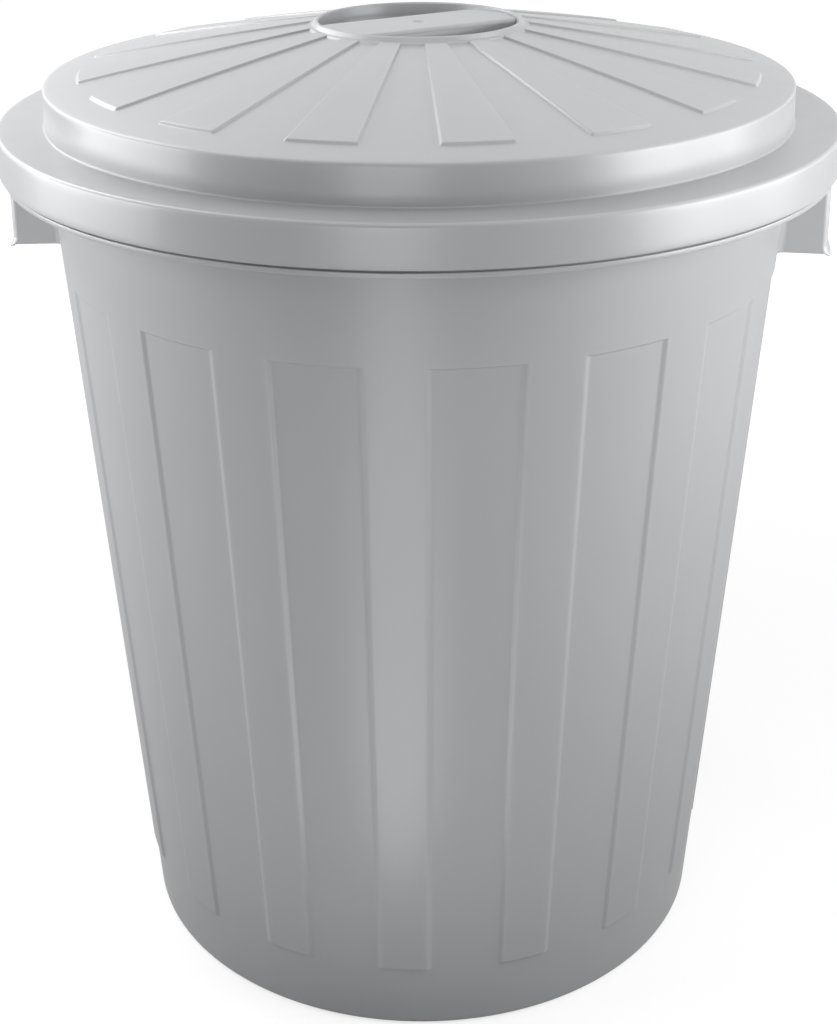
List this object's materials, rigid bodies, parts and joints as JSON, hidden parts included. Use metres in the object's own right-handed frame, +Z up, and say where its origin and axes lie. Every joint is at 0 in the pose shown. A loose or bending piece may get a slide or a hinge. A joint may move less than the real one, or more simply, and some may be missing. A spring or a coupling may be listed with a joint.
{
  "type": "bucket with lid",
  "caption": "Round tapered plastic bin with moulded side handles, a panelled wall and a lift-off lid with a sunk finger grip.",
  "frame": {"origin": "centre of the standing ring, on the floor", "axes": "+Z up the bin's axis, +X through the middle of one side handle, -Y the front"},
  "size_m": [0.46, 0.46, 0.5464],
  "materials": {
    "bucket_plastic": "satin moulded polypropylene, pale grey",
    "lid_plastic": "satin moulded polypropylene, pale grey"
  },
  "bodies": {
    "bucket": {"bucket": "bucket_plastic"},
    "lid": {"lid": "lid_plastic"}
  },
  "joints": [
    {"name": "lid_lift", "type": "slide", "parent": "bucket", "child": "lid", "axis": [0, 0, 1], "range_m": [0, 0.15]}
  ]
}
